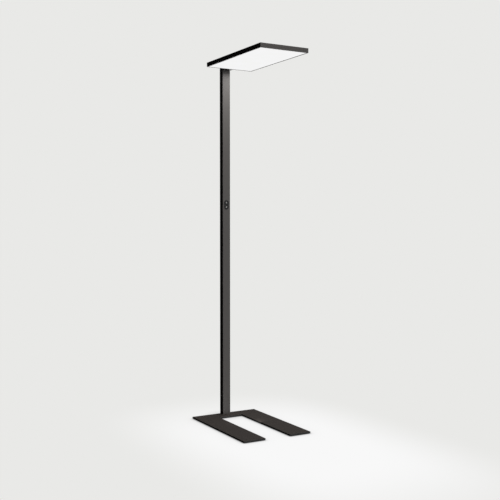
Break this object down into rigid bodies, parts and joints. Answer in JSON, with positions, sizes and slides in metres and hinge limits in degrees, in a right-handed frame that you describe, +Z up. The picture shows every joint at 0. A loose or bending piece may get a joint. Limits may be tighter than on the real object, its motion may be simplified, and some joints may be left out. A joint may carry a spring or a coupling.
{
  "type": "office floor lamp",
  "caption": "Free-standing panel lamp: forked steel floor plate, square-edged mast with two push buttons, and a flat cantilevered head that shines down and up.",
  "frame": {"origin": "on the floor, under the middle of the lamp's footprint", "axes": "+Z up the mast; -Y the way the head and the legs of the floor plate point; X across the lamp"},
  "size_m": [0.392, 0.659, 1.95],
  "materials": {
    "plate_powder_coat": "fine-textured powder coat",
    "dark_anodised": "dark grey anodised, satin",
    "cover_black": "black powder coat, matt",
    "glide_rubber": "matt",
    "screw_steel": "zinc plated",
    "screw_black": "blackened",
    "tray_steel": "galvanised sheet",
    "chassis_aluminium": "mill finish",
    "nylon_black": "moulded nylon",
    "button_plastic": "satin moulded",
    "panel_plastic": "fine spark-eroded",
    "lens_plastic": "translucent, satin",
    "seal_rubber": "matt",
    "driver_case": "moulded",
    "terminal_plastic": "moulded",
    "wire_brown": "smooth",
    "cable_black": "smooth",
    "board_green": "solder resist",
    "board_white": "white solder resist",
    "diffuser_opal": "opal, satin",
    "guide_clear": "clear acrylic",
    "reflector_white": "matt film",
    "foam_grey": "open foam",
    "uplight_opal": "opal, satin"
  },
  "bodies": {
    "lamp": {"base_plate": "plate_powder_coat", "base_glides": "glide_rubber", "base_screws": "screw_steel", "mast_profile": "dark_anodised", "gear_tray": "tray_steel", "led_driver": "driver_case", "driver_screws": "screw_steel", "terminal_block": "terminal_plastic", "mains_wires": "wire_brown", "lamp_lead": "cable_black", "control_lead": "cable_black", "gland_body": "nylon_black", "gland_seal": "seal_rubber", "gland_cap": "nylon_black", "gland_nut": "nylon_black", "control_plate": "panel_plastic", "control_board": "board_green", "board_screws": "screw_steel", "switch_bodies": "nylon_black", "neck_tray": "dark_anodised", "neck_lid": "dark_anodised", "neck_lid_screws": "screw_black", "neck_mast_screws": "screw_steel", "neck_head_screws": "screw_steel", "rail_left": "dark_anodised", "rail_right": "dark_anodised", "rail_front": "dark_anodised", "rail_rear": "dark_anodised", "corner_keys": "chassis_aluminium", "diffuser": "diffuser_opal", "light_guide": "guide_clear", "reflector_sheet": "reflector_white", "led_strip_left": "board_white", "led_strip_right": "board_white", "foam_strips": "foam_grey", "chassis_sheet": "chassis_aluminium", "mount_block": "chassis_aluminium", "block_screws": "screw_steel", "head_terminal": "terminal_plastic", "board_wires": "wire_brown", "uplight_board": "board_white", "uplight_lens": "uplight_opal", "top_cover": "cover_black", "cover_screws": "screw_black"},
    "button_up": {"button_up_cap": "button_plastic", "button_up_lens": "lens_plastic", "button_up_plunger": "nylon_black"},
    "button_down": {"button_down_cap": "button_plastic", "button_down_lens": "lens_plastic", "button_down_plunger": "nylon_black"}
  },
  "joints": [
    {"name": "button_up_press", "type": "slide", "parent": "lamp", "child": "button_up", "axis": [0, 1, 0], "range_m": [0, 0.0012], "stiffness_N_per_m": 1500, "springref_m": -0.0005},
    {"name": "button_down_press", "type": "slide", "parent": "lamp", "child": "button_down", "axis": [0, 1, 0], "range_m": [0, 0.0012], "stiffness_N_per_m": 1500, "springref_m": -0.0005}
  ]
}
